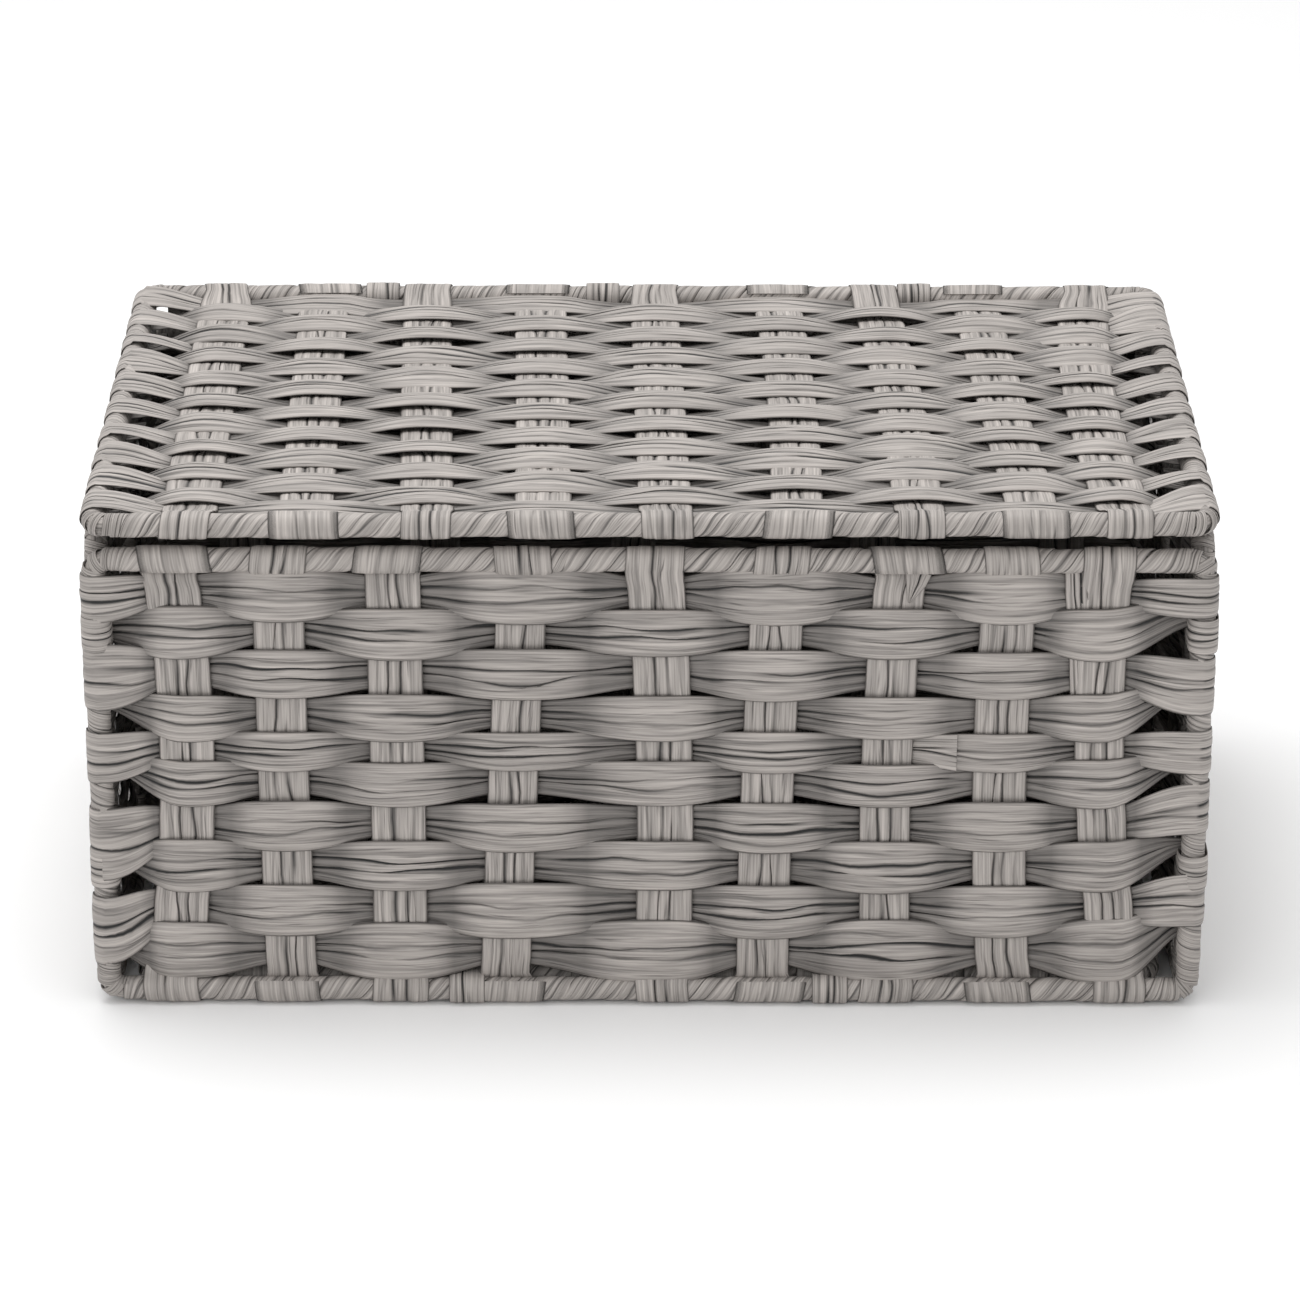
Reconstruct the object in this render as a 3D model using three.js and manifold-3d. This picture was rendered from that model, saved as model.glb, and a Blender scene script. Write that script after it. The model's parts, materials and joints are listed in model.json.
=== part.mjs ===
import * as THREE from 'three';
import { mergeVertices } from 'three/addons/utils/BufferGeometryUtils.js';
import Module from 'manifold-3d';

const wasm = await Module();
wasm.setup();

// Driving dimensions in millimetres. The front faces -Y, the stakes are the ribs of the weave.
const basketWidth = 360; // over the wrapped posts
const basketDepth = 226; // over the front and back frames
const rimHeight = 159.4; // floor to the top of the front and back frames
const lidRise = 12.6; // from the axis of the rim's rails up to that of the closed lid's
const wrapRadius = 4.6; // half the thickness of a wrapped rail
const cornerRadius = 4.8; // of a frame's centre line
const wireRadius = 2;
const wireClearance = 0.35;
const seamWidth = 3; // the opening in a wrap where its wire ends meet
const seamHeight = 1.2;
const weaveGap = 0.3; // between a wrapped frame and the weave inside it
const weaveHalfThickness = 2.6;
const stakeHalfThickness = 4.4;
const stakeWidth = 16;
const stakeFlank = 2; // width of a stake's sloping side
const hingePitch = 10; // between the axes of two rails tied side by side
const tieWidth = 14;
const tieThickness = 0.6;
const tieClearance = 0.6; // between a tie and the necked wrap inside it
const tieSideGap = 0.3; // between a tie and the shoulders of its neck
const lowTieRise = 43.4; // from the bottom rails up to the lower tie of a post
const highTieDrop = 24.5; // from the rim down to the upper one
const baseGap = 12; // from the side walls' axes to the base's side rails
const lidRestGap = 0.4; // between the closed lid and the side walls
const stakePitch = 36; // between neighbouring stakes' middles
const stakeCounts = { wideWall: 9, sideLeaf: 2, baseLeaf: 8, lid: 9 };
const baseTieX = 59; // left and right of the middle
const lidTieX = 93; // left and right of the middle
const lidMiddleTieX = -16; // beside a stake

// Places worked out from the dimensions
const postX = basketWidth / 2 - wrapRadius;
const backY = basketDepth / 2 - wrapRadius;
const frontY = -backY;
const bottomZ = wrapRadius;
const rimZ = rimHeight - wrapRadius;
const lidZ = rimZ + lidRise;
const sideTopZ = lidZ - 2 * wrapRadius - lidRestGap;
const leafLength = (backY - frontY - 3 * hingePitch) / 2;
const rearLeafY = backY - hingePitch - leafLength / 2;
const frontLeafY = frontY + hingePitch + leafLength / 2;
const baseX = postX - baseGap;
const neckRadius = wrapRadius - tieThickness - tieClearance;
const neckHalfWidth = tieWidth / 2 + tieSideGap;
const tieHeights = { low: bottomZ + lowTieRise, high: rimZ - highTieDrop };
const baseTies = { left: -baseTieX, right: baseTieX };
const lidTies = { left: -lidTieX, middle: lidMiddleTieX, right: lidTieX };

const steel = new THREE.MeshStandardMaterial({ color: 0x8d8f90, roughness: 0.45, metalness: 0.9 });
const ribbon = new THREE.MeshStandardMaterial({ color: 0xa39b92, roughness: 0.85, metalness: 0 });
const weave = new THREE.MeshStandardMaterial({ color: 0x958d84, roughness: 0.9, metalness: 0 });

function toSolid(geometry) {
  const bare = geometry.clone();
  bare.deleteAttribute('normal');
  bare.deleteAttribute('uv');
  const merged = mergeVertices(bare);
  const vertProperties = new Float32Array(merged.attributes.position.array);
  const triVerts = new Uint32Array(merged.index.array);
  return new wasm.Manifold(new wasm.Mesh({ numProp: 3, vertProperties, triVerts }));
}

function toGeometry(solid) {
  const mesh = solid.getMesh();
  const geometry = new THREE.BufferGeometry();
  geometry.setAttribute('position', new THREE.BufferAttribute(mesh.vertProperties, 3));
  geometry.setIndex(new THREE.BufferAttribute(mesh.triVerts, 1));
  geometry.computeVertexNormals();
  return geometry;
}

// Stations run anticlockwise round a rectangle with rounded corners. Each has a place, the
// outward direction there and the tube's radius. A neck lies on one of the four sides, at a
// distance from that side's middle along the way round.
function frameStations(width, height, radius, cornerSteps, necks = []) {
  const stations = [];
  for (const [turns, side] of ['bottom', 'right', 'top', 'left'].entries()) {
    const turn = turns * Math.PI / 2;
    const along = new THREE.Vector2(Math.cos(turn), Math.sin(turn));
    const outward = new THREE.Vector2(along.y, -along.x);
    const isRail = side === 'bottom' || side === 'top';
    const reach = (isRail ? height : width) / 2;
    const halfLength = (isRail ? width : height) / 2;
    const onSide = necks.filter((neck) => neck.side === side).sort((a, b) => a.at - b.at);
    for (const neck of onSide) {
      const edges = [[-1, radius], [-1, neckRadius], [1, neckRadius], [1, radius]];
      for (const [end, edgeRadius] of edges) {
        const place = outward.clone().multiplyScalar(reach);
        place.addScaledVector(along, neck.at + end * neckHalfWidth);
        stations.push({ place, outward, radius: edgeRadius });
      }
    }
    const centre = outward.clone().multiplyScalar(reach - cornerRadius);
    centre.addScaledVector(along, halfLength - cornerRadius);
    for (let step = 0; step <= cornerSteps; step++) {
      const angle = turn - Math.PI / 2 + step / cornerSteps * Math.PI / 2;
      const direction = new THREE.Vector2(Math.cos(angle), Math.sin(angle));
      const place = centre.clone().addScaledVector(direction, cornerRadius);
      stations.push({ place, outward: direction, radius });
    }
  }
  return stations;
}

// A closed tube through the stations, whose flat sides lie at the stations' radius
function ringTube(stations, sides) {
  const positions = [];
  const indices = [];
  for (const { place, outward, radius } of stations) {
    const cornerReach = radius / Math.cos(Math.PI / sides);
    for (let side = 0; side < sides; side++) {
      const angle = (side + 0.5) / sides * 2 * Math.PI;
      const out = cornerReach * Math.cos(angle);
      positions.push(place.x + outward.x * out, place.y + outward.y * out);
      positions.push(cornerReach * Math.sin(angle));
    }
  }
  for (let i = 0; i < stations.length; i++) {
    const next = (i + 1) % stations.length;
    for (let side = 0; side < sides; side++) {
      const beside = (side + 1) % sides;
      const a = i * sides + side;
      const b = next * sides + side;
      const c = next * sides + beside;
      const d = i * sides + beside;
      indices.push(a, b, c, a, c, d);
    }
  }
  const geometry = new THREE.BufferGeometry();
  geometry.setAttribute('position', new THREE.Float32BufferAttribute(positions, 3));
  geometry.setIndex(indices);
  geometry.computeVertexNormals();
  return geometry;
}

function wireGeometry(width, height) {
  return ringTube(frameStations(width, height, wireRadius, 2), 6);
}

// The ribbon wound round a wire frame, with a neck where each tie goes round it
function wrapGeometry(width, height, necks) {
  const outside = toSolid(ringTube(frameStations(width, height, wrapRadius, 3, necks), 8));
  const boreStations = frameStations(width, height, wireRadius + wireClearance, 2);
  const bore = toSolid(ringTube(boreStations, 6));
  const seam = new THREE.BoxGeometry(2 * wrapRadius, seamWidth, seamHeight);
  seam.translate(wrapRadius - width / 2, 0, 0);
  return toGeometry(outside.subtract(bore).subtract(toSolid(seam)));
}

// A woven sheet that fills its frame, with a rib on both faces for each stake
function weaveGeometry(width, height, stakes) {
  const halfWidth = width / 2 - wrapRadius - weaveGap;
  const length = height - 2 * (wrapRadius + weaveGap);
  const face = [[-halfWidth, weaveHalfThickness]];
  for (let stake = 0; stake < stakes; stake++) {
    const middle = (stake - (stakes - 1) / 2) * stakePitch;
    face.push([middle - stakeWidth / 2 - stakeFlank, weaveHalfThickness]);
    face.push([middle - stakeWidth / 2, stakeHalfThickness]);
    face.push([middle + stakeWidth / 2, stakeHalfThickness]);
    face.push([middle + stakeWidth / 2 + stakeFlank, weaveHalfThickness]);
  }
  face.push([halfWidth, weaveHalfThickness]);
  const otherFace = face.map(([x, y]) => [x, -y]).reverse();
  const outline = [...face, ...otherFace].map(([x, y]) => new THREE.Vector2(x, y));
  const sheet = new THREE.ExtrudeGeometry(new THREE.Shape(outline), { depth: length, bevelEnabled: false });
  sheet.translate(0, 0, -length / 2);
  return sheet.rotateX(-Math.PI / 2);
}

// A ribbon loop round two parallel axes that lie a span apart along Y
function tieGeometry(span) {
  const stadium = (path, radius) => {
    path.absarc(0, span / 2, radius, 0, Math.PI, false);
    path.absarc(0, -span / 2, radius, Math.PI, 2 * Math.PI, false);
    path.closePath();
    return path;
  };
  const outline = stadium(new THREE.Shape(), wrapRadius);
  outline.holes.push(stadium(new THREE.Path(), wrapRadius - tieThickness));
  const options = { depth: tieWidth, bevelEnabled: false, curveSegments: 6 };
  const band = new THREE.ExtrudeGeometry(outline, options);
  return band.translate(0, 0, -tieWidth / 2);
}

function mesh(name, geometry, material) {
  const piece = new THREE.Mesh(geometry, material);
  piece.name = name;
  return piece;
}

// A framed panel lies in its own XY plane, with its stakes along Y
function framedPanel(name, width, height, stakes, necks) {
  const panel = new THREE.Group();
  panel.add(mesh(`${name}_wire`, wireGeometry(width, height), steel));
  panel.add(mesh(`${name}_wrap`, wrapGeometry(width, height, necks), ribbon));
  panel.add(mesh(`${name}_weave`, weaveGeometry(width, height, stakes), weave));
  return panel;
}

function postNecks(side, panelMiddleZ) {
  const direction = side === 'right' ? 1 : -1;
  return Object.values(tieHeights).map((z) => ({ side, at: direction * (z - panelMiddleZ) }));
}

function railNecks(side, places) {
  const direction = side === 'bottom' ? 1 : -1;
  return Object.values(places).map((x) => ({ side, at: direction * x }));
}

// The front and the back share one frame, and only the back is tied to the lid
function wideWall(name, y, topNecks) {
  const height = rimZ - bottomZ;
  const middleZ = (rimZ + bottomZ) / 2;
  const necks = [
    ...railNecks('bottom', baseTies),
    ...postNecks('right', middleZ),
    ...topNecks,
    ...postNecks('left', middleZ),
  ];
  const wall = framedPanel(name, 2 * postX, height, stakeCounts.wideWall, necks);
  wall.rotation.x = Math.PI / 2;
  wall.position.set(0, y, middleZ);
  return wall;
}

function sideLeaf(name, x, y) {
  const height = sideTopZ - bottomZ;
  const middleZ = (sideTopZ + bottomZ) / 2;
  const necks = [...postNecks('right', middleZ), ...postNecks('left', middleZ)];
  const leaf = framedPanel(name, leafLength, height, stakeCounts.sideLeaf, necks);
  leaf.rotation.set(Math.PI / 2, Math.PI / 2, 0);
  leaf.position.set(x, y, middleZ);
  return leaf;
}

function baseLeaf(name, y) {
  const necks = [...railNecks('bottom', baseTies), ...railNecks('top', baseTies)];
  const leaf = framedPanel(name, 2 * baseX, leafLength, stakeCounts.baseLeaf, necks);
  leaf.position.set(0, y, bottomZ);
  return leaf;
}

function lidPanel() {
  const necks = railNecks('top', lidTies);
  const lid = framedPanel('lid', 2 * postX, backY - frontY, stakeCounts.lid, necks);
  lid.position.set(0, 0, lidZ);
  return lid;
}

// Ties round upright posts: at the four corners and where a side wall folds
function postTies(name, x, y) {
  const ties = new THREE.Group();
  for (const [height, z] of Object.entries(tieHeights)) {
    const tie = mesh(`${name}_tie_${height}`, tieGeometry(hingePitch), ribbon);
    tie.position.set(x, y, z);
    ties.add(tie);
  }
  return ties;
}

// Ties round the base's rails: at the back, in the middle and at the front
function baseRailTies(name, y) {
  const ties = new THREE.Group();
  for (const [side, x] of Object.entries(baseTies)) {
    const tie = mesh(`${name}_tie_${side}`, tieGeometry(hingePitch), ribbon);
    tie.rotation.y = Math.PI / 2;
    tie.position.set(x, y, bottomZ);
    ties.add(tie);
  }
  return ties;
}

function lidHingeTies() {
  const ties = new THREE.Group();
  for (const [side, x] of Object.entries(lidTies)) {
    const tie = mesh(`lid_tie_${side}`, tieGeometry(lidZ - rimZ), ribbon);
    tie.rotation.set(Math.PI / 2, Math.PI / 2, 0);
    tie.position.set(x, backY, (lidZ + rimZ) / 2);
    ties.add(tie);
  }
  return ties;
}

const basket = new THREE.Group();
basket.name = 'collapsible_storage_basket';
basket.add(wideWall('back', backY, railNecks('top', lidTies)));
basket.add(wideWall('front', frontY, []));
for (const [side, x] of Object.entries({ left: -postX, right: postX })) {
  basket.add(sideLeaf(`${side}_rear`, x, rearLeafY));
  basket.add(sideLeaf(`${side}_front`, x, frontLeafY));
  basket.add(postTies(`back_${side}`, x, backY - hingePitch / 2));
  basket.add(postTies(`${side}_fold`, x, 0));
  basket.add(postTies(`front_${side}`, x, frontY + hingePitch / 2));
}
basket.add(baseLeaf('base_rear', rearLeafY));
basket.add(baseLeaf('base_front', frontLeafY));
basket.add(baseRailTies('base_back', backY - hingePitch / 2));
basket.add(baseRailTies('base_fold', 0));
basket.add(baseRailTies('base_front_edge', frontY + hingePitch / 2));
basket.add(lidPanel());
basket.add(lidHingeTies());

export default basket;
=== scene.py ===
import json
import math
import random

import bpy
import numpy as np
from mathutils import Matrix, Vector

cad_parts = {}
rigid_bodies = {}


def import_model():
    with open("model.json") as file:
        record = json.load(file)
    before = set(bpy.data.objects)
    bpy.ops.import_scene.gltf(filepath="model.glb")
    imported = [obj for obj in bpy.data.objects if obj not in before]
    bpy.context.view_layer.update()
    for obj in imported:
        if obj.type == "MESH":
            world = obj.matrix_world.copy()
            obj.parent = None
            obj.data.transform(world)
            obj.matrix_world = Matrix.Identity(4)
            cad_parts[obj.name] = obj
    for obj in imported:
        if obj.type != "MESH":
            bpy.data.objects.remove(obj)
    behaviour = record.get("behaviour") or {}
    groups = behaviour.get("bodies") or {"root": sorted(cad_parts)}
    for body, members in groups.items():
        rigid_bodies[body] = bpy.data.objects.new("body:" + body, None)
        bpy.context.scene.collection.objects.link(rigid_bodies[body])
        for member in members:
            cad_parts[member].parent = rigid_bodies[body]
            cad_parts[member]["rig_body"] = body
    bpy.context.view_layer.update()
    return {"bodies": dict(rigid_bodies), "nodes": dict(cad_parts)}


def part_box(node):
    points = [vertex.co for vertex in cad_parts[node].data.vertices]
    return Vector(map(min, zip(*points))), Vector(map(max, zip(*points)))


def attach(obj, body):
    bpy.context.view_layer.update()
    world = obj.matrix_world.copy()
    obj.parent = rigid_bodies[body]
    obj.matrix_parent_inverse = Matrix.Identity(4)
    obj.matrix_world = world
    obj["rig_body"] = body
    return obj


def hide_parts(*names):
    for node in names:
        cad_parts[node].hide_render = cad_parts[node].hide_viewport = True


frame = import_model()
mm = 0.001
print("frame loaded with", len(frame["nodes"]), "CAD nodes")


class Wire:
    # an output socket that builds Math nodes when it is used in a formula
    def __init__(self, bench, socket):
        self.bench = bench
        self.socket = socket

    def math(self, operation, *others):
        return self.bench.node("ShaderNodeMath", {"operation": operation}, [self, *others])

    def __add__(self, other):
        return self.math("ADD", other)

    def __sub__(self, other):
        return self.math("SUBTRACT", other)

    def __rsub__(self, other):
        return self.bench.node("ShaderNodeMath", {"operation": "SUBTRACT"}, [other, self])

    def __mul__(self, other):
        return self.math("MULTIPLY", other)

    def __truediv__(self, other):
        return self.math("DIVIDE", other)

    def __pow__(self, other):
        return self.math("POWER", other)

    __radd__ = __add__
    __rmul__ = __mul__


class Bench:
    # adds nodes to one tree
    def __init__(self, tree):
        self.tree = tree

    def node(self, kind, settings=None, inputs=(), out=0):
        made = self.tree.nodes.new(kind)
        for name, value in (settings or {}).items():
            setattr(made, name, value)
        pairs = inputs.items() if isinstance(inputs, dict) else enumerate(inputs)
        for key, value in pairs:
            if isinstance(value, Wire):
                self.tree.links.new(value.socket, made.inputs[key])
            else:
                made.inputs[key].default_value = value
        return Wire(self, made.outputs[out])

    def vector(self, operation, *values):
        return self.node("ShaderNodeVectorMath", {"operation": operation}, list(values))

    def scaled(self, vector, factor):
        return self.node("ShaderNodeVectorMath", {"operation": "SCALE"}, {"Vector": vector, "Scale": factor})

    def join(self, x, y, z):
        return self.node("ShaderNodeCombineXYZ", None, [x, y, z])

    def noise(self, vector, scale=1.0, detail=1.0):
        return self.node("ShaderNodeTexNoise", None, {"Vector": vector, "Scale": scale, "Detail": detail})


folds = 5  # side by side in a ribbon
vectorColumns = ("across", "outward")
# shade and innerShade carry painted shade for a ribbon's outer and inner face
numberColumns = ("width", "thick", "gather", "camber", "shade", "innerShade", "along", "seed")

# How the sweep crumples a ribbon. The ways are what a noise takes of the place across, the way along and the
# ribbon's seed, and fibreWidth is the width in metres that the paper's pattern sees on each side.
crumple = {
    "grooveSharpness": 3, "creaseWays": (3.7, 1, 5.3), "creaseGain": 5, "creaseFloor": 1.45,
    "fullWidth": 1.15, "fullSharpness": 3, "wanderWays": (0.8, 1.3, 9.1), "edgeRoundness": 4,
    "levelWays": (2.9, 0.6, 4.1), "rippleWays": (2.3, 2, 3.3), "fibreWidth": 0.016, "fibreSide": 0.3,
}


# Sweeps a folded paper ribbon along every path of a wire mesh, whose points carry its width and its ways
def ribbonTree(look):
    tree = bpy.data.node_groups.new("ribbonSweep", "GeometryNodeTree")
    kinds = {"Geometry": "Geometry", "Folds": "Int", "Front Points": "Int", "Back Points": "Int",
             "Groove Depth": "Float", "Wander": "Float", "Fold Length": "Float", "Fold Step": "Float",
             "Seed": "Float", "Ripple": "Float", "Material": "Material"}
    for name, kind in kinds.items():
        tree.interface.new_socket(name, in_out="INPUT", socket_type="NodeSocket" + kind)
    tree.interface.new_socket("Geometry", in_out="OUTPUT", socket_type="NodeSocketGeometry")
    bench = Bench(tree)
    given = tree.nodes.new("NodeGroupInput")
    entry = {s.name: Wire(bench, s) for s in given.outputs if s.name}

    def keep(geometry, name, value, kind="FLOAT"):
        settings = {"data_type": kind, "domain": "POINT"}
        inputs = {"Geometry": geometry, "Name": name, "Value": value}
        return bench.node("GeometryNodeStoreNamedAttribute", settings, inputs)

    def read(name, kind="FLOAT"):
        return bench.node("GeometryNodeInputNamedAttribute", {"data_type": kind}, {"Name": name})

    paths = bench.node("GeometryNodeMeshToCurve", None, {"Mesh": entry["Geometry"]})
    paths = keep(paths, "pathPoint", bench.node("GeometryNodeInputPosition"), "FLOAT_VECTOR")
    frontPoints = entry["Folds"] * entry["Front Points"]
    backPoints = entry["Folds"] * entry["Back Points"]
    # the ring only numbers the points round the ribbon, and its radius is lost
    ring = bench.node("GeometryNodeCurvePrimitiveCircle", None,
                      {"Resolution": frontPoints + backPoints, "Radius": 0.0001})
    ring = keep(ring, "ringPoint", bench.node("GeometryNodeInputIndex"))
    ribbon = bench.node("GeometryNodeCurveToMesh", None,
                        {"Curve": paths, "Profile Curve": ring, "Fill Caps": True})

    ringPoint = read("ringPoint")
    v = (ringPoint / frontPoints).math("MINIMUM", (frontPoints + backPoints - ringPoint) / backPoints)
    side = 1 - ringPoint.math("GREATER_THAN", frontPoints) * 2  # 1 on the front, -1 on the back
    along, seed, gather = read("along"), read("seed") + entry["Seed"], read("gather")
    slow = along / entry["Fold Length"]

    def crumpled(place, ways):
        return bench.noise(bench.join(place * ways[0], slow * ways[1], seed * ways[2]))

    phase = v * entry["Folds"]  # whole numbers lie on the creases
    groove = (0.5 + 0.5 * (phase * 2 * math.pi).math("COSINE")) ** look["grooveSharpness"]
    creaseNoise = crumpled((phase + 0.5).math("FLOOR"), look["creaseWays"])
    inside = v * (1 - v) * 4
    strength = (creaseNoise * look["creaseGain"] - look["creaseFloor"]).math("MAXIMUM", 0)
    strength = gather * strength.math("MINIMUM", 1)
    strength = strength * ((inside * look["fullWidth"]) ** look["fullSharpness"]).math("MINIMUM", 1)
    wander = (crumpled(phase, look["wanderWays"]) - 0.5) * entry["Wander"] * inside
    place = v + wander
    edge = (1 - (v * 2 - 1).math("ABSOLUTE") ** look["edgeRoundness"]) ** 0.5
    half = read("thick") * 0.5 * edge * (1 - entry["Groove Depth"] * groove * strength)
    level = crumpled(phase.math("FLOOR"), look["levelWays"]) - 0.5
    ripple = crumpled(v, look["rippleWays"]) - 0.5
    rise = side * half + read("camber") * inside + ripple * entry["Ripple"] * 2
    rise = rise + level * entry["Fold Step"] * 2 * gather * inside
    middle = bench.vector("ADD", read("pathPoint", "FLOAT_VECTOR"),
                          bench.scaled(read("across", "FLOAT_VECTOR"), read("width") * (place - 0.5)))
    where = bench.vector("ADD", middle, bench.scaled(read("outward", "FLOAT_VECTOR"), rise))
    ribbon = bench.node("GeometryNodeSetPosition", None, {"Geometry": ribbon, "Position": where})
    fibre = bench.join(along, place * look["fibreWidth"] + side * look["fibreSide"], seed)
    ribbon = keep(ribbon, "fibre", fibre, "FLOAT_VECTOR")
    # the painted shade of whichever face this is, kept in fold beside the crease place and strength
    shade = read("shade") * (0.5 + 0.5 * side) + read("innerShade") * (0.5 - 0.5 * side)
    ribbon = keep(ribbon, "fold", bench.join(phase, strength, shade), "FLOAT_VECTOR")
    for name in ("pathPoint", "ringPoint", *vectorColumns, *numberColumns):
        ribbon = bench.node("GeometryNodeRemoveAttribute", None, {"Geometry": ribbon, "Name": name})
    ribbon = bench.node("GeometryNodeFlipFaces", None, {"Mesh": ribbon})  # so that they point outwards
    ribbon = bench.node("GeometryNodeSetShadeSmooth", None, {"Geometry": ribbon})
    ribbon = bench.node("GeometryNodeRealizeInstances", None, {"Geometry": ribbon})
    ribbon = bench.node("GeometryNodeSetMaterial", None, {"Geometry": ribbon, "Material": entry["Material"]})
    tree.links.new(ribbon.socket, tree.nodes.new("NodeGroupOutput").inputs[0])
    return tree


# The paths that one piece is swept along. Lengths come in millimetres.
class Strands:
    def __init__(self, seed):
        self.random = random.Random(seed)
        self.columns = {name: [] for name in ("point", *vectorColumns, *numberColumns)}
        self.edges = []

    # across is made square to the path unless the way out is given too, and shade and innerShade are painted
    # shade on the outer and inner face
    def add(self, place, points, across, width, thick, gather, camber=0.0, outward=None, shade=0.0,
            innerShade=0.0):
        points = np.array(points, float)
        count = len(points)
        across = np.broadcast_to(np.array(across, float), (count, 3))
        tangent = np.gradient(points, axis=0)
        tangent /= np.linalg.norm(tangent, axis=1)[:, None]
        if outward is None:
            outward = np.cross(tangent, across)
            outward /= np.linalg.norm(outward, axis=1)[:, None]
            across = np.cross(outward, tangent)
        steps = np.linalg.norm(np.diff(points, axis=0), axis=1)
        start = sum(len(part) for part in self.columns["point"])
        self.edges += [(start + i, start + i + 1) for i in range(count - 1)]
        column = self.columns
        column["point"].append(place.point(points) * mm)
        column["across"].append(place.way(across))
        column["outward"].append(place.way(outward))
        for name, value in {"width": width, "thick": thick, "camber": camber}.items():
            column[name].append(np.broadcast_to(np.array(value, float) * mm, count))
        for name, value in {"gather": gather, "shade": shade, "innerShade": innerShade}.items():
            column[name].append(np.broadcast_to(np.array(value, float), count))
        column["along"].append(np.concatenate([[0], np.cumsum(steps)]) * mm)
        column["seed"].append(np.full(count, self.random.uniform(0, 60)))

    # sweeps the paths and returns one plain mesh object
    def sweep(self, name, tree, values):
        mesh = bpy.data.meshes.new(name)
        mesh.from_pydata(np.concatenate(self.columns["point"]).tolist(), self.edges, [])
        for column in vectorColumns:
            layer = mesh.attributes.new(column, "FLOAT_VECTOR", "POINT")
            layer.data.foreach_set("vector", np.concatenate(self.columns[column]).ravel())
        for column in numberColumns:
            layer = mesh.attributes.new(column, "FLOAT", "POINT")
            layer.data.foreach_set("value", np.concatenate(self.columns[column]))
        wires = bpy.data.objects.new(name + "Paths", mesh)
        bpy.context.scene.collection.objects.link(wires)
        modifier = wires.modifiers.new("sweep", "NODES")
        modifier.node_group = tree
        keys = {s.name: s.identifier for s in tree.interface.items_tree if s.in_out == "INPUT"}
        for key, value in values.items():
            modifier[keys[key]] = value
        evaluated = wires.evaluated_get(bpy.context.evaluated_depsgraph_get())
        plain = bpy.data.meshes.new_from_object(evaluated)
        plain.name = name
        piece = bpy.data.objects.new(name, plain)
        bpy.context.scene.collection.objects.link(piece)
        wires.modifiers.remove(modifier)
        bpy.data.objects.remove(wires)
        bpy.data.meshes.remove(mesh)
        return piece


# A panel's own axes: a runs along its wefts, b along its stakes and n out of its outer face
class Panel:
    def __init__(self, name, outward, stakeWay, sag):
        low, high = (np.array(corner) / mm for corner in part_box(name + "_wrap"))
        self.n = np.array(outward, float)
        self.b = np.array(stakeWay, float)
        self.a = np.cross(self.b, self.n)
        self.centre = (low + high) / 2
        size = high - low
        railRadius = abs(size @ self.n) / 2
        self.halfA = abs(size @ self.a) / 2 - railRadius
        self.halfB = abs(size @ self.b) / 2 - railRadius
        self.body = frame["nodes"][name + "_wrap"]["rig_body"]
        self.sag = sag

    # the low edge hangs down by the two sags at its left and right end
    def point(self, points):
        right = 0.5 + points[:, 0] / (2 * self.halfA)
        low = 0.5 - points[:, 1] / (2 * self.halfB)
        points = points.copy()
        points[:, 2] -= low * (self.sag[0] * (1 - right) + self.sag[1] * right)
        return self.centre + points @ np.array([self.a, self.b, self.n])

    def way(self, ways):
        return ways @ np.array([self.a, self.b, self.n])


def eased(share):
    return (1 - np.cos(np.pi * np.clip(share, 0, 1))) / 2


# Fills in the way from one crossing to the next. All values ease, but the place along the ribbon runs
# evenly, and with a hold above 1 the width stays full for longer.
def easedKeys(keys, step, hold=1.0):
    rows = []
    for start, end in zip(keys, keys[1:]):
        start, end = np.array(start, float), np.array(end, float)
        reach = np.abs(end[:2] - start[:2])
        onward = int(reach[1] > reach[0])
        count = max(3, round(reach.max() / step))
        for i in range(count):
            share = i / count
            fuller = share ** hold if start[3] > end[3] else 1 - (1 - share) ** hold
            row = start + (end - start) * eased(share)
            row[3] = start[3] + (end[3] - start[3]) * eased(fuller)
            row[onward] = (start + (end - start) * share)[onward]
            rows.append(row)
    rows.append(np.array(keys[-1], float))
    return np.array(rows)


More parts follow.
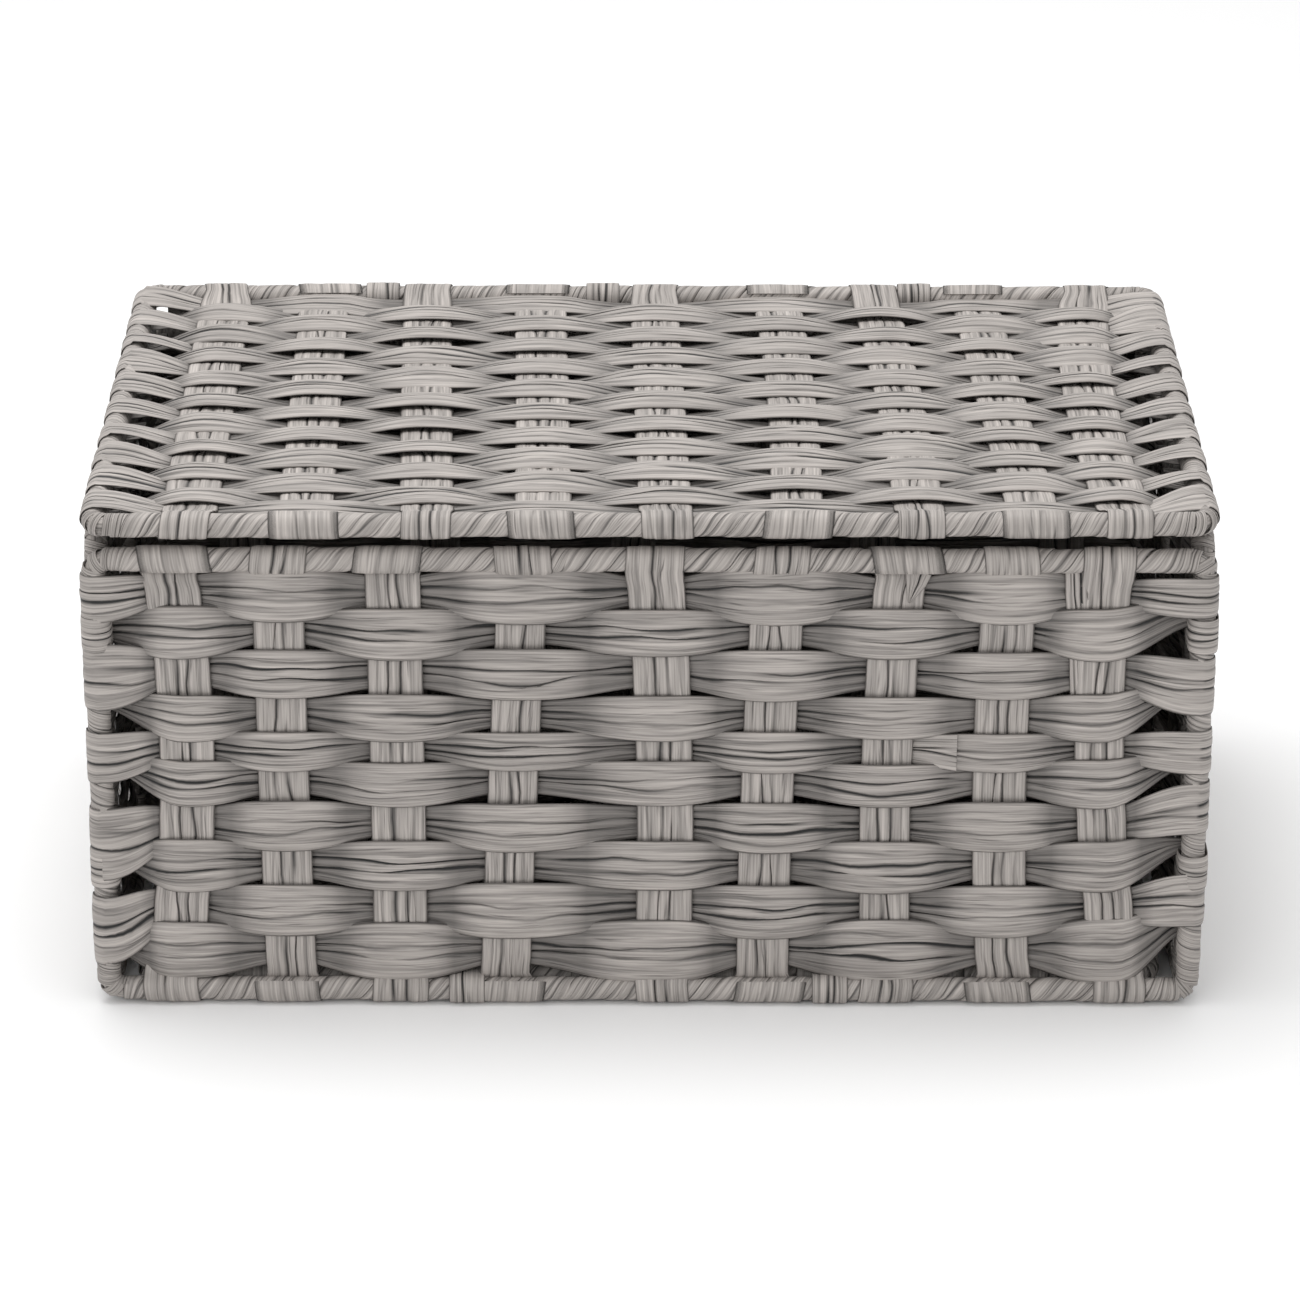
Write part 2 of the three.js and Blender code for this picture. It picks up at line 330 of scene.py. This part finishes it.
# Lengths are in millimetres, angles in degrees and shares of the rows' pitch. Over and under are a weft's
# crossings outside and inside a stake, tucked is its end behind a post, and edge is the outermost rows.
weaving = {
    "step": 2.8, "hold": 1.3, "overLift": 2.1, "underLift": 2.1, "overThick": 1.4, "underThick": 2.3,
    "overShare": 1.24, "underShare": 0.78, "overGather": 0.8, "gatherSpread": (0.4, 1.4), "camber": 0.9,
    "shift": 0.5, "tiltSpread": 0.07, "widthSpread": 0.08,
    "edgeLift": 0.8, "edgeShare": 0, "edgeOver": 1.0, "edgePost": 0.8, "cornerRoom": 4.4,
    "postShare": (1.5, 1.5), "postThick": 0.8, "postRadius": 4.2, "postGather": 0.8, "postSteps": 12,
    "postNarrow": 0.45, "fans": (), "fanSpread": 1.0, "closedRows": 0, "closedShare": 1.35,
    "tail": 9.0, "tailSteps": 3, "tailRise": 0.5, "tailWidth": 0.55, "tailNarrow": 0.1,
    "tuckedWidth": 4.0, "tuckedEdge": 2.2, "tuckedShift": 2.5,
    "joins": (), "joinRoom": 13.5, "flapLift": 0.9, "flapWiden": 0.6, "flapThin": 0.7,
    "ties": (), "tieRoom": 5.3, "tieReach": 9,
    "stakeWidth": 17.0, "stakeSpread": (0.94, 1.08), "stakeLift": 0.7, "stakeThick": 1.7, "stakeGather": 0.66,
    "stakeStep": 1.2, "dive": 5.5, "diveDepth": 0.3,
    "loopRadius": 4.25, "loopThick": 0.6, "loopSteps": 14, "loopSpread": (0.94, 1.06), "loopSlant": 1.6,
    "frontLoopWidth": 17.8, "frontLoopGather": 0.7, "frontStart": -40, "frontSweep": 275,
    "backLoopWidth": 21.5, "backLoopGather": 0.3, "backSweep": 235,
}


# Where a stake is at height b of its panel, from its places at the high rail, halfway and at the low rail
def stakeAt(panel, stake, b):
    high, middle, low = stake
    share = b / panel.halfB
    return middle + (high - low) / 2 * share + ((high + low) / 2 - middle) * share ** 2


# Whether row j passes outside crossing k, where crossing 0 is the first post and 1 the first stake
def isOutside(j, k):
    return (j + k) % 2 == 0


# A weft's crossing k at place a: place, height, way out, width, gather, camber, tilt and thickness
def weftKey(rnd, panel, row, k, a, isPost, look):
    j, b = row["number"], row["height"]
    outside = isOutside(j, k)
    nearEdge = row["fromEdge"] < 2
    lift = look["postRadius"] if isPost else look["overLift" if outside else "underLift"] * row["lift"]
    share = look["overShare" if outside else "underShare"]
    if isPost:
        share = look["postShare"][k > 0] * (look["edgePost"] if row["atEdge"] else 1)
        if k > 0 and row["closed"]:
            share *= look["closedShare"]
    elif nearEdge:
        share = max(share, look["edgeShare"]) * (look["edgeOver"] if row["atEdge"] and outside else 1)
    width = row["pitch"] * share
    width *= 1 + rnd.uniform(-1, 1) * look["widthSpread"]
    if isPost and not outside:
        width = look["tuckedWidth"] * (look["tuckedEdge"] if nearEdge else 1)
    gather = min(1, look["overGather"] * rnd.uniform(*look["gatherSpread"])) if outside else 1
    camber = 0 if isPost else look["camber"] * (1 if outside else -1) * row["lift"]
    tilt = rnd.uniform(-1, 1) * look["tiltSpread"]
    shift = rnd.uniform(-1, 1) * look["shift"]
    if isPost:
        fan = look["fans"][k > 0][j] if look["fans"] else 0
        turned = b + fan + rnd.uniform(-1, 1) * look["fanSpread"]
        room = panel.halfB - look["cornerRoom"] - width / 2
        tucked = fan + look["tuckedShift"] * np.sign(b) * nearEdge
        shift = min(max(turned, -room), room) - b if outside else tucked
    thick = look["postThick" if isPost else "overThick" if outside else "underThick"]
    return a, b + shift, lift if outside else -lift, width, gather, camber, tilt, thick


# From a crossing in front of an end post, half round its outer side and a little way back behind it
def postTurn(key, look):
    side = math.copysign(1, key[0])
    radius = look["postRadius"]
    rows = []
    for i in range(1, look["postSteps"] + 1):
        angle = math.pi * (0.5 - i / look["postSteps"])
        narrow = 1 - look["postNarrow"] * eased(i / (look["postSteps"] / 2) - 1)
        rows.append((key[0] + side * radius * math.cos(angle), key[1], radius * math.sin(angle),
                     key[3] * narrow, look["postGather"], 0, 0, key[7]))
    for i in range(1, look["tailSteps"] + 1):
        rows.append((key[0] - side * look["tail"] * i / look["tailSteps"], key[1],
                     -radius + i * look["tailRise"], key[3] * (look["tailWidth"] - look["tailNarrow"] * i),
                     1, 0, 0, key[7]))
    return rows


# Each row of weft is a ribbon that ends behind a post, round which it turns if it comes from outside
def addWefts(strands, panel, stakes, rows, look):
    last = len(stakes) + 1
    pitches = np.abs(np.gradient(rows))
    for j, b in enumerate(rows):
        fromEdge = min(j, len(rows) - 1 - j)
        atEdge = fromEdge == 0
        row = {"number": j, "height": b, "pitch": pitches[j], "fromEdge": fromEdge, "atEdge": atEdge,
               "lift": look["edgeLift"] if atEdge else 1, "closed": j >= len(rows) - look["closedRows"]}
        places = [-panel.halfA, *(stakeAt(panel, stake, b) for stake in stakes), panel.halfA]
        keys = [weftKey(strands.random, panel, row, k, a, k in (0, last), look) for k, a in enumerate(places)]
        start = postTurn(keys[0], look)[::-1] if keys[0][2] > 0 else []
        end = postTurn(keys[-1], look) if keys[-1][2] > 0 else []
        path = np.array([*start, *easedKeys(keys, look["step"], look["hold"]), *end])
        if j == len(rows) - 1:
            for tie in look["ties"]:  # the last row makes room for them
                near = np.exp(-((path[:, 0] - tie) / look["tieReach"]) ** 4)
                high = path[:, 1] + path[:, 3] / 2
                path[:, 1] -= near * np.clip(high - panel.halfB + look["tieRoom"], 0, None)
        tangent = np.gradient(path[:, :3], axis=0)
        tangent[:, 1] = 0
        outward = np.cross(tangent, (0, 1, 0))
        outward /= np.linalg.norm(outward, axis=1)[:, None]
        across = np.array([0, 1, 0]) - path[:, 6:7] * outward
        # Painted shade: on the outer face a weft darkens where it dips under a stake, on the inner face where
        # it passes outside one
        level = path[:, 2] / row["lift"]
        shade = np.clip(1 - level / look["overLift"], 0, 1) ** 2
        innerShade = np.clip(1 + level / look["underLift"], 0, 1) ** 2
        strands.add(panel, path[:, :3], across, path[:, 3], path[:, 7], path[:, 4], path[:, 5], outward,
                    shade, innerShade)
        for k in [k for joined, k in look["joins"] if joined == j]:
            flap = easedKeys(keys[k - 1:k + 1], look["step"] / 2, look["hold"])
            flap = flap[flap[:, 0] < keys[k][0] - look["joinRoom"]]
            flap = flap + [0, 0, look["flapLift"], look["flapWiden"], 0, 0, 0, -look["flapThin"]]
            strands.add(panel, flap[:, :3], (0, 1, 0), flap[:, 3], flap[:, 7], flap[:, 4], flap[:, 5])


# The loop of a stake round the high rail (way 1) or the low one (way -1), from the sheet outwards
def railLoop(rnd, panel, stake, way, inFront, look):
    bandWidth = look["frontLoopWidth" if inFront else "backLoopWidth"] * rnd.uniform(*look["loopSpread"])
    gather = look["frontLoopGather" if inFront else "backLoopGather"]
    a = stakeAt(panel, stake, way * panel.halfB)
    slant = rnd.uniform(-1, 1) * look["loopSlant"]
    steps = look["loopSteps"]
    loop = []
    for step in range(steps + 1):
        swept = step / steps
        angle = math.pi - math.radians(swept * look["backSweep"])
        if inFront:
            angle = math.radians(swept * look["frontSweep"] + look["frontStart"])
        b = way * (panel.halfB + look["loopRadius"] * math.sin(angle))
        n = look["loopRadius"] * math.cos(angle)
        loop.append((a + slant * step / (steps / 2), b, n, bandWidth, gather, look["loopThick"]))
    return loop


# Each stake is a ribbon that goes over and under the wefts and loops round both rails
def addStakes(strands, panel, stakes, rows, look, frontAt):
    rnd = strands.random
    upwards = sorted(range(len(rows)), key=lambda j: rows[j])
    for i, stake in enumerate(stakes):
        width = look["stakeWidth"] * rnd.uniform(*look["stakeSpread"])
        band = (width, look["stakeGather"], look["stakeThick"])
        low = railLoop(rnd, panel, stake, -1, frontAt(i, "low"), look)
        high = railLoop(rnd, panel, stake, 1, frontAt(i, "high"), look)
        keys = []
        for j in upwards:
            n = -look["stakeLift"] if isOutside(j, i + 1) else look["stakeLift"]
            keys.append((stakeAt(panel, stake, rows[j]), rows[j], n, *band))
        # where it is behind the rail or behind the nearest weft, it passes the sheet's middle in between
        for way, loop, at, nearest in ((1, high, len(keys), keys[-1]), (-1, low, 0, keys[0])):
            if loop[0][2] < 0 or nearest[2] < 0:
                keys.insert(at, (loop[0][0], way * (panel.halfB - look["dive"]), -look["diveDepth"], *band))
        keys = [low[0], *keys, high[0]]
        path = np.array([*low[:0:-1], *easedKeys(keys, look["step"] * look["stakeStep"]), *high[1:]])
        tangent = np.gradient(path[:, :3], axis=0)
        tangent[:, 0] = 0
        outward = np.cross(tangent, (-1, 0, 0))
        outward /= np.linalg.norm(outward, axis=1)[:, None]
        strands.add(panel, path[:, :3], (-1, 0, 0), path[:, 3], path[:, 5], path[:, 4], 0, outward)


# Pitches are the lengths of one turn, and spread is how much they vary from knot to knot along the frame
winding = {
    "radius": 3.6, "thick": 0.6, "railPitch": 15.0, "postPitch": 8.5, "cornerPitch": 3.6, "bendReach": 14,
    "knot": 20, "spread": 0.34, "overlap": 1.15, "turnPoints": 16, "gather": 0.5, "shingle": 0.02,
    "swell": 0.03, "swellPace": 0.31, "corner": 4.8, "lineStep": 0.5, "coreStep": 8, "coreWidth": 6.2,
}


# The middle line of a frame, anticlockwise from the start of its low rail: places, ways on and ways out
def frameLine(panel, corner, step):
    places, ons, outs = [], [], []
    for turn in range(4):
        on = np.array([math.cos(turn * math.pi / 2), math.sin(turn * math.pi / 2)])
        out = np.array([on[1], -on[0]])
        reach, half = (panel.halfB, panel.halfA) if turn % 2 == 0 else (panel.halfA, panel.halfB)
        for at in np.arange(-(half - corner), half - corner, step):
            places.append(out * reach + on * at)
            ons.append(on)
            outs.append(out)
        centre = out * (reach - corner) + on * (half - corner)
        for share in np.arange(0, 1, 0.1):  # ten places round each corner
            angle = share * math.pi / 2
            way = out * math.cos(angle) + on * math.sin(angle)
            places.append(centre + way * corner)
            ons.append(on * math.cos(angle) - out * math.sin(angle))
            outs.append(way)
    return np.array(places), np.array(ons), np.array(outs)


# Ribbon wound round the whole frame: steep turns on the rails, close ones on the posts and corners. Its
# width lies along the rail, so that it hugs it. A plain core under it lets no light through.
def addWindings(strands, panel, look):
    places, ons, outs = frameLine(panel, look["corner"], look["lineStep"])
    lengths = np.linalg.norm(np.diff(places, axis=0), axis=1)
    s = np.concatenate([[0], np.cumsum(lengths)])
    rnd = strands.random
    straight = np.abs(outs).max(axis=1) > 0.999
    bends = np.concatenate([s[~straight], s[~straight] - s[-1]])
    toBend = np.abs(s[:, None] - bends[None, :]).min(axis=1)
    isRail = np.abs(outs[:, 1]) > np.abs(outs[:, 0])
    plain = np.where(isRail, look["railPitch"], look["postPitch"])
    pitch = look["cornerPitch"] + (plain - look["cornerPitch"]) * eased(toBend / look["bendReach"])
    knots = np.arange(0, s[-1] + look["knot"], look["knot"])
    pitch = pitch * np.interp(s, knots, [1 + rnd.uniform(-1, 1) * look["spread"] for knot in knots])
    turned = np.concatenate([[0], np.cumsum(2 * math.pi / pitch[1:] * lengths)])
    sample = np.arange(0, turned[-1], 2 * math.pi / look["turnPoints"])

    def at(values):
        return np.interp(sample, turned, values)

    def spread(ways):
        return np.stack([at(ways[:, 0]), at(ways[:, 1]), np.zeros(len(sample))], axis=1)

    angle = rnd.uniform(0, 6) - sample
    up = np.array([0.0, 0.0, 1.0])
    radial = spread(outs) * np.sin(angle)[:, None] + up * np.cos(angle)[:, None]
    swell = 1 + look["swell"] * np.sin(at(s) * look["swellPace"] + rnd.uniform(0, 6))
    points = spread(places) + radial * (look["radius"] * swell)[:, None]
    way = spread(ons)
    handed = np.sign(np.sum(np.cross(np.gradient(points, axis=0), way) * radial, axis=1).mean())
    across = way * handed + radial * look["shingle"]
    strands.add(panel, points, across, at(pitch) * look["overlap"], look["thick"], look["gather"], 0, radial)
    places, ons, outs = frameLine(panel, look["corner"], look["coreStep"])
    line = np.concatenate([places, places[:1]])
    flat = np.zeros((len(line), 1))
    outs = np.concatenate([np.concatenate([outs, outs[:1]]), flat], axis=1)
    strands.add(panel, np.concatenate([line, flat], axis=1), -outs, look["coreWidth"], look["coreWidth"], 0)


# The ways are how often a noise repeats along the ribbon, across it and from ribbon to ribbon
paper = {
    "tone": (0.395, 0.362, 0.338), "brightness": 0.94, "roughness": 0.55,
    "streaks": (34.0, 1800.0, 1.7), "streakDetail": 3.0, "streakTone": 1.5, "streakHeight": 0.5,
    "coarse": (18.0, 560.0, 2.3), "coarseTone": 0.45, "coarseHeight": 0.4,
    "patches": 45.0, "patchDetail": 2.0, "patchTone": 0.3,
    # The darks below paint shade into the colour: in the creases, in fine creases, as a contact shadow along
    # the edges and where a weft dips under a stake.
    "creaseWidth": 0.2, "creaseGain": 1.5, "creaseDark": 1.0, "creaseHeight": 1.5,
    "broken": (60.0, 420.0, 3.1), "brokenGain": 4, "brokenFloor": 1.9,
    "fineLines": 2.0, "fineBend": 0.5, "fineWidth": 0.2, "fineInside": 0.6, "fineDark": 0.7,
    "fineHeight": 0.6,
    "edgeWidth": 0.7, "edgeDark": 0.7, "depthDark": 0.52, "bump": 0.9, "bumpDistance": 0.0004,
}


def ribbonPaper(name, look):
    material = bpy.data.materials.new(name)
    material.use_nodes = True
    tree = material.node_tree
    tree.nodes.clear()
    bench = Bench(tree)
    fibre = bench.node("ShaderNodeAttribute", {"attribute_name": "fibre"}, out="Vector")
    fold = bench.node("ShaderNodeAttribute", {"attribute_name": "fold"}, out="Vector")
    # fold holds the crease place, the crease strength and the painted shade
    phase, strength, paintedShade = (bench.node("ShaderNodeSeparateXYZ", None, [fold], i) for i in range(3))
    inside = phase * (folds - phase)

    def along(ways, detail=1.0):
        return bench.noise(bench.vector("MULTIPLY", fibre, ways), 1.0, detail)

    # 1 where the place is a whole number, and 0 beyond a width from it
    def line(place, width):
        return (1 - place.math("PINGPONG", 0.5) / width).math("MAXIMUM", 0)

    streaks = along(look["streaks"], look["streakDetail"])
    coarse = along(look["coarse"])
    # crease lines: painted shade in the colour and a groove in the bump
    crease = (line(phase, look["creaseWidth"]) * look["creaseGain"] * strength).math("MINIMUM", 1)
    # fine creases between them, also painted shade in the colour and a groove in the bump
    bent = phase * look["fineLines"] + (coarse - 0.5) * look["fineBend"] + 0.5
    broken = (along(look["broken"]) * look["brokenGain"] - look["brokenFloor"]).math("MAXIMUM", 0)
    fine = line(bent, look["fineWidth"]) * broken.math("MINIMUM", 1)
    fine = fine * (inside * look["fineInside"]).math("MINIMUM", 1)
    where = bench.node("ShaderNodeTexCoord", None, (), "Object")
    patches = bench.noise(where, look["patches"], look["patchDetail"])
    shade = look["brightness"] + look["streakTone"] * (streaks - 0.5) + look["coarseTone"] * (coarse - 0.5)
    shade = shade + look["patchTone"] * (patches - 0.5)
    # painted shade in the creases and fine creases
    shade = shade * (1 - look["creaseDark"] * crease) * (1 - look["fineDark"] * fine)
    # painted contact shadow in a thin band along both edges of the ribbon
    edge = (1 - inside / look["edgeWidth"]).math("MAXIMUM", 0)
    # painted shade where a weft dips under a stake, and the painted contact shadow at the edges
    shade = shade * (1 - look["depthDark"] * paintedShade) * (1 - look["edgeDark"] * edge)
    height = streaks * look["streakHeight"] + coarse * look["coarseHeight"]
    height = height - crease * look["creaseHeight"] - fine * look["fineHeight"]
    relief = {"Height": height, "Strength": look["bump"], "Distance": look["bumpDistance"]}
    bump = bench.node("ShaderNodeBump", None, relief, "Normal")
    colour = bench.scaled(look["tone"], shade)
    surface = bench.node("ShaderNodeBsdfPrincipled", None,
                         {"Base Color": colour, "Roughness": look["roughness"], "Normal": bump})
    tree.links.new(surface.socket, tree.nodes.new("ShaderNodeOutputMaterial").inputs["Surface"])
    return material


tree = ribbonTree(crumple)
wovenSweep = {"Folds": folds, "Front Points": 4, "Back Points": 2, "Groove Depth": 0.75, "Wander": 0.36,
              "Fold Length": 0.034, "Fold Step": 0.0005, "Seed": 1.0, "Ripple": 0.0002,
              "Material": ribbonPaper("wallRibbon", paper)}
tieSweep = {**wovenSweep, "Groove Depth": 0.4, "Fold Step": 0.0002, "Ripple": 0.0001}
woundSweep = {**tieSweep, "Front Points": 2, "Back Points": 1}

# Places of the stakes at the high rail, halfway and at the low rail
frontStakes = (
    (-151.8, -147.8, -155.3), (-117.4, -117, -115.8), (-81.2, -80.5, -80.4), (-39.6, -43.5, -46.6),
    (1.4, 5, 4.2), (41.3, 38, 37), (79.5, 75.9, 77.5), (114.5, 112.3, 115.5), (144.7, 144.4, 153.2),
)
lidStakes = (
    (-147.5, -146.5, -145.3), (-113.5, -111, -108.5), (-77.5, -74, -70), (-38, -35.5, -33.5),
    (2, 3.5, 5.2), (44.5, 47.5, 46), (79, 83.5, 85.3), (114, 117.3, 121.7), (153, 147, 151),
)

# Heights of the wall rows over the floor
rowHeights = (143.4, 130.4, 115.9, 101.1, 89.4, 78.1, 62.9, 49.1, 32.9, 18.4)

# How far each row of the front rises from its last stake to the left post, and to the right one
frontFans = ((0, -1, 0, 2.8, -2.5, 5, -5, 1, -5.5, 1.7), (1.5, 5.6, -2, 9, 0, 6.7, 7, 5.6, 6.5, 9))

# A second strip beside the last stake, and the folded end of a stake under the rim
frontPatches = (
    {"points": ((135, 72, 1.2), (135.3, 64.2, 1.1), (136, 57, 0), (137, 50, -0.6), (137.3, 43, 0),
                (137.6, 35.9, 0.6), (138, 29, -0.6), (138.3, 21, -0.6)),
     "across": (1, 0, 0), "width": 8.0, "thick": 1.3},
    {"points": ((84.8, 71.5, 1.2), (84, 68, 1.9), (83, 65, 1.9), (82, 61.5, 1.8)),
     "across": (1, 0, 0), "width": (8.5, 6.5, 4, 0.8), "thick": 0.7},
)

# A ribbon that stands on edge along the lid's back rail
lidPatches = (
    {"points": [(a, 100.5, -3.6) for a in range(-168, 169, 21)],
     "across": (0, 0, 1), "width": 6.5, "thick": 0.8},
)


def evenly(count, pitch):
    return [(i - (count - 1) / 2) * pitch for i in range(count)]


def upright(count, pitch):
    return [(place,) * 3 for place in evenly(count, pitch)]


def wallRows(panel):
    return [height - panel.centre[2] for height in rowHeights]


def baseRows(panel):
    return evenly(6, 13.6)


def lidRows(panel):
    return evenly(19, 10.84)


# Which stakes loop round the front of a rail: i counts from the left, seen from outside
def alternateLoops(i, edge):
    return (i % 2 == 0) == (edge == "low")


def frontLoops(i, edge):
    return i in (1, 3, 4, 5, 7, 8) if edge == "high" else i % 2 == 0


def lidLoops(i, edge):
    return i % 2 == 0


dense = {"overShare": 1.3, "underShare": 0.95, "postShare": (1.6, 1.6)}
wall = {"stakeWay": (0, 0, 1), "rows": wallRows, "look": dense}
sideWall = {**wall, "stakes": upright(2, 34)}
base = {"outward": (0, 0, -1), "stakeWay": (0, 1, 0), "stakes": upright(8, 37), "rows": baseRows,
        "look": dense}
plans = {
    "front": {**wall, "outward": (0, -1, 0), "stakes": frontStakes, "loops": frontLoops,
              "patches": frontPatches,
              "look": {"overShare": 1.24, "underShare": 0.75, "postShare": (1.6, 1.25), "edgeOver": 1.24,
                       "fans": frontFans, "tuckedShift": 0, "joins": ((4, 8),)}},
    "back": {**wall, "outward": (0, 1, 0), "stakes": frontStakes, "look": {**dense, "edgeShare": 1.3}},
    "left_rear": {**sideWall, "outward": (-1, 0, 0)},
    "left_front": {**sideWall, "outward": (-1, 0, 0)},
    "right_rear": {**sideWall, "outward": (1, 0, 0)},
    "right_front": {**sideWall, "outward": (1, 0, 0)},
    "base_rear": base,
    "base_front": base,
    "lid": {"outward": (0, 0, 1), "stakeWay": (0, 1, 0), "stakes": lidStakes, "rows": lidRows,
            "loops": lidLoops, "sag": (1.2, 0.1), "patches": lidPatches,
            "look": {"step": 3.1, "overLift": 1.7, "underLift": 1.0, "overThick": 1.3, "underThick": 1.9,
                     "overShare": 1.36, "underShare": 0.92, "camber": 1.4, "shift": 0.7, "tiltSpread": 0.16,
                     "widthSpread": 0.14, "edgeLift": 0.5, "edgeShare": 1.25, "edgePost": 1.05,
                     "postShare": (1.4, 1.4), "closedRows": 6, "ties": (-93, -16, 93),
                     "frontLoopWidth": 15.5}},
}


def triangles(piece):
    return sum(len(polygon.vertices) - 2 for polygon in piece.data.polygons)


for seed, (name, plan) in enumerate(plans.items()):
    panel = Panel(name, plan["outward"], plan["stakeWay"], plan.get("sag", (0, 0)))
    look = {**weaving, **plan["look"]}
    rows = plan["rows"](panel)
    woven = Strands(seed * 10 + 1)
    addWefts(woven, panel, plan["stakes"], rows, look)
    addStakes(woven, panel, plan["stakes"], rows, look, plan.get("loops", alternateLoops))
    for patch in plan.get("patches", ()):
        woven.add(panel, patch["points"], patch["across"], patch["width"], patch["thick"], 1.0)
    piece = woven.sweep(name + "Weave", tree, wovenSweep)
    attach(piece, panel.body)
    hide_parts(name + "_weave")
    wound = Strands(seed * 10 + 2)
    addWindings(wound, panel, winding)
    wrapPiece = wound.sweep(name + "Windings", tree, woundSweep)
    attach(wrapPiece, panel.body)
    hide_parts(name + "_wrap")
    print(name, "woven with", triangles(piece), "triangles, wound with", triangles(wrapPiece))


# A tie's place and ways, read from its CAD node: a runs from rail to rail, b along them
class TiePlace:
    def __init__(self, node):
        low, high = (np.array(corner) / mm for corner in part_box(node))
        size = high - low
        order = np.argsort(size)
        self.centre = (low + high) / 2
        self.axes = np.eye(3)[[order[2], order[1], order[0]]]
        self.axes[1] *= np.linalg.det(self.axes)  # keeps them right-handed
        self.halfSpan = (size[order[2]] - size[order[0]]) / 2

    def point(self, points):
        return self.centre + points @ self.axes

    def way(self, ways):
        return ways @ self.axes


# A tie's start and end overlap by some steps, and a little climb at each step keeps them apart
tying = {"radius": 4.68, "width": 11.5, "thick": 0.5, "gather": 0.8, "turnSteps": 48, "overlapSteps": 5,
         "climb": 0.004, "squareness": 6}


def addTie(strands, node, look):
    place = TiePlace(node)
    points = []
    for i in range(look["turnSteps"] + look["overlapSteps"]):
        angle = 2 * math.pi * i / look["turnSteps"]
        a = look["radius"] * math.sin(angle) + place.halfSpan * np.tanh(look["squareness"] * math.sin(angle))
        points.append((a, 0, look["radius"] * math.cos(angle) + look["climb"] * i))
    strands.add(place, points, (0, 1, 0), look["width"], look["thick"], look["gather"])


for seed, body in enumerate(frame["bodies"]):
    nodes = [name for name, node in frame["nodes"].items() if "_tie_" in name and node["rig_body"] == body]
    if nodes:
        loops = Strands(200 + seed)
        for node in nodes:
            addTie(loops, node, tying)
        words = "".join(word.capitalize() for word in body.split("_"))
        piece = loops.sweep("tiesOn" + words, tree, tieSweep)
        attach(piece, body)
        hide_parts(*nodes)
print("ties done")


def plainMaterial(name, look):
    material = bpy.data.materials.new(name)
    material.use_nodes = True
    for key, value in look.items():
        material.node_tree.nodes["Principled BSDF"].inputs[key].default_value = value
    return material


steelLook = {"Base Color": (0.35, 0.35, 0.35, 1), "Metallic": 1, "Roughness": 0.45}
steel = plainMaterial("wireSteel", steelLook)
for name, node in frame["nodes"].items():
    if name.endswith("_wire"):
        node.data.materials.clear()
        node.data.materials.append(steel)
print("wires coloured")

# The studio: a white world that lights less than it shows, a white floor and two soft boxes
studio = {"worldStrength": 0.78, "floorSize": 40, "aim": (0, 0, 0.08)}
floorLook = {"Base Color": (0.95, 0.95, 0.95, 1), "Roughness": 0.9}
softBoxes = {
    "overheadBox": {"place": (-0.2, 0.15, 1.5), "size": 1.0, "power": 12.5},
    "frontBox": {"place": (-0.6, -1.7, 1.0), "size": 0.8, "power": 4},
}

world = bpy.data.worlds.new("studio")
bpy.context.scene.world = world
world.use_nodes = True
world.node_tree.nodes.clear()
bench = Bench(world.node_tree)
lightPath = world.node_tree.nodes.new("ShaderNodeLightPath")
seen = Wire(bench, lightPath.outputs["Is Camera Ray"])
seen = seen.math("MAXIMUM", Wire(bench, lightPath.outputs["Is Glossy Ray"]))
seen = seen.math("MAXIMUM", Wire(bench, lightPath.outputs["Is Transmission Ray"]))
strength = studio["worldStrength"] + seen * (1 - studio["worldStrength"])
background = bench.node("ShaderNodeBackground", None, {"Color": (1, 1, 1, 1), "Strength": strength})
world.node_tree.links.new(background.socket, world.node_tree.nodes.new("ShaderNodeOutputWorld").inputs[0])

half = studio["floorSize"] / 2
floorMesh = bpy.data.meshes.new("floor")
floorMesh.from_pydata([(-half, -half, 0), (half, -half, 0), (half, half, 0), (-half, half, 0)], [],
                      [(0, 1, 2, 3)])
floor = bpy.data.objects.new("floor", floorMesh)
bpy.context.scene.collection.objects.link(floor)
floorMesh.materials.append(plainMaterial("floorPaint", floorLook))

for name, box in softBoxes.items():
    light = bpy.data.lights.new(name, "AREA")
    light.shape = "SQUARE"
    light.size = box["size"]
    light.energy = box["power"]
    lamp = bpy.data.objects.new(name, light)
    lamp.location = box["place"]
    lamp.rotation_euler = (Vector(studio["aim"]) - Vector(box["place"])).to_track_quat("-Z", "Y").to_euler()
    bpy.context.scene.collection.objects.link(lamp)
print("studio done")

shot = {"place": (-0.0054, -1.7048, 0.794), "pitch": 22.766, "yaw": 0.2, "roll": 0.182, "lens": 151.09,
        "sensor": 36, "clipEnd": 100}
pitch, yaw, roll = (math.radians(shot[key]) for key in ("pitch", "yaw", "roll"))
ahead = Vector((math.sin(yaw) * math.cos(pitch), math.cos(yaw) * math.cos(pitch), -math.sin(pitch)))
right = Vector((math.cos(yaw), -math.sin(yaw), 0))
up = right.cross(ahead)
rolledRight = right * math.cos(roll) + up * math.sin(roll)
rolledUp = up * math.cos(roll) - right * math.sin(roll)
turned = Matrix((rolledRight, rolledUp, -ahead)).transposed().to_4x4()
lens = bpy.data.cameras.new("camera")
lens.lens = shot["lens"]
lens.sensor_width = shot["sensor"]
lens.clip_end = shot["clipEnd"]
camera = bpy.data.objects.new("camera", lens)
camera.matrix_world = Matrix.Translation(shot["place"]) @ turned
bpy.context.scene.collection.objects.link(camera)
bpy.context.scene.camera = camera
bpy.context.scene.view_settings.view_transform = "Standard"
print("camera done")
